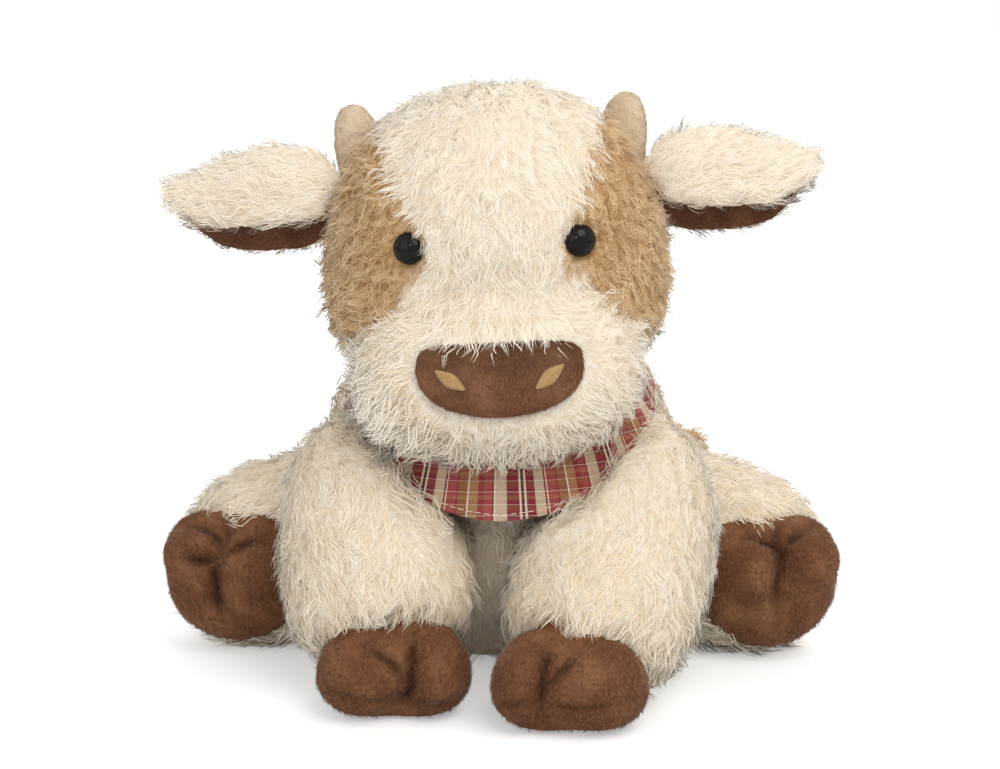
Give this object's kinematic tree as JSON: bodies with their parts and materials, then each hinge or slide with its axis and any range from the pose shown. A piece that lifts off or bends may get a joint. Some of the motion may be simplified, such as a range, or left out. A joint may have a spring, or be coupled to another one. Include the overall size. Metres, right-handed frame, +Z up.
{
  "type": "plush cow",
  "caption": "Seated plush cow with fur skins, folded ears, horns, short-pile hooves, tail and neck bandana; head, ears, legs and tail turn at their seams.",
  "frame": {"origin": "on the floor, under the middle of the body, on the seat panel's underside", "axes": "+Z up, +X to the toy's own left side, the toy faces -Y"},
  "size_m": [0.2868, 0.2115, 0.2389],
  "materials": {
    "cream_fur": "long pile, matte",
    "tan_fur": "long curly pile, matte",
    "brown_pile": "short pile, matte",
    "horn_pile": "short pile, matte",
    "gold_thread": "satin stitch",
    "plaid_cotton": "woven plaid cotton",
    "filling": "fibre filling",
    "black_gloss": "gloss black",
    "white_plastic": "matte"
  },
  "bodies": {
    "trunk": {"body_skin": "cream_fur", "body_stuffing": "filling", "seat_panel": "cream_fur", "pellet_bag": "filling", "bandana": "plaid_cotton", "bandana_knot": "plaid_cotton"},
    "head": {"head_muzzle_panel": "cream_fur", "head_blaze_panel": "cream_fur", "head_side_panel_left": "tan_fur", "head_side_panel_right": "tan_fur", "head_stuffing": "filling", "nose_patch": "brown_pile", "nostril_left": "gold_thread", "nostril_right": "gold_thread", "eye_left": "black_gloss", "eye_right": "black_gloss", "eye_washer_left": "white_plastic", "eye_washer_right": "white_plastic", "horn_left": "horn_pile", "horn_right": "horn_pile"},
    "ear_left": {"ear_skin_left": "cream_fur", "ear_lining_left": "brown_pile"},
    "ear_right": {"ear_skin_right": "cream_fur", "ear_lining_right": "brown_pile"},
    "front_leg_left": {"front_leg_left_skin": "cream_fur", "front_leg_left_hoof": "brown_pile", "front_leg_left_stuffing": "filling"},
    "front_leg_right": {"front_leg_right_skin": "cream_fur", "front_leg_right_hoof": "brown_pile", "front_leg_right_stuffing": "filling"},
    "hind_leg_left": {"hind_leg_left_skin": "cream_fur", "hind_leg_left_hoof": "brown_pile", "hind_leg_left_stuffing": "filling"},
    "hind_leg_right": {"hind_leg_right_skin": "cream_fur", "hind_leg_right_hoof": "brown_pile", "hind_leg_right_stuffing": "filling"},
    "tail": {"tail_strip": "cream_fur", "tail_tuft": "tan_fur"}
  },
  "joints": [
    {"name": "head_turn", "type": "hinge", "parent": "trunk", "child": "head", "pos_m": [0, 0, 0.138], "axis": [0, 0, 1], "range_deg": [-15, 15], "stiffness_Nm_per_rad": 0.4},
    {"name": "ear_flop_left", "type": "hinge", "parent": "head", "child": "ear_left", "pos_m": [0.05273, -0.018, 0.20856], "axis": [0, 1, 0], "range_deg": [-20, 20], "stiffness_Nm_per_rad": 0.3},
    {"name": "ear_flop_right", "type": "hinge", "parent": "head", "child": "ear_right", "pos_m": [-0.05914, -0.018, 0.20329], "axis": [0, -1, 0], "range_deg": [-20, 20], "stiffness_Nm_per_rad": 0.3},
    {"name": "front_leg_spread_left", "type": "hinge", "parent": "trunk", "child": "front_leg_left", "pos_m": [0.047, -0.012, 0.098], "axis": [0, 0, 1], "range_deg": [0, 12], "stiffness_Nm_per_rad": 0.2},
    {"name": "front_leg_spread_right", "type": "hinge", "parent": "trunk", "child": "front_leg_right", "pos_m": [-0.047, -0.012, 0.098], "axis": [0, 0, -1], "range_deg": [0, 12], "stiffness_Nm_per_rad": 0.2},
    {"name": "hind_leg_swing_left", "type": "hinge", "parent": "trunk", "child": "hind_leg_left", "pos_m": [0.038, 0.026, 0.042], "axis": [0, 0, 1], "range_deg": [0, 10], "stiffness_Nm_per_rad": 0.2},
    {"name": "hind_leg_swing_right", "type": "hinge", "parent": "trunk", "child": "hind_leg_right", "pos_m": [-0.038, 0.026, 0.042], "axis": [0, 0, -1], "range_deg": [0, 10], "stiffness_Nm_per_rad": 0.2},
    {"name": "tail_swing", "type": "hinge", "parent": "trunk", "child": "tail", "pos_m": [0.012, 0.08, 0.034], "axis": [0, 0, 1], "range_deg": [0, 60], "stiffness_Nm_per_rad": 0.02}
  ]
}
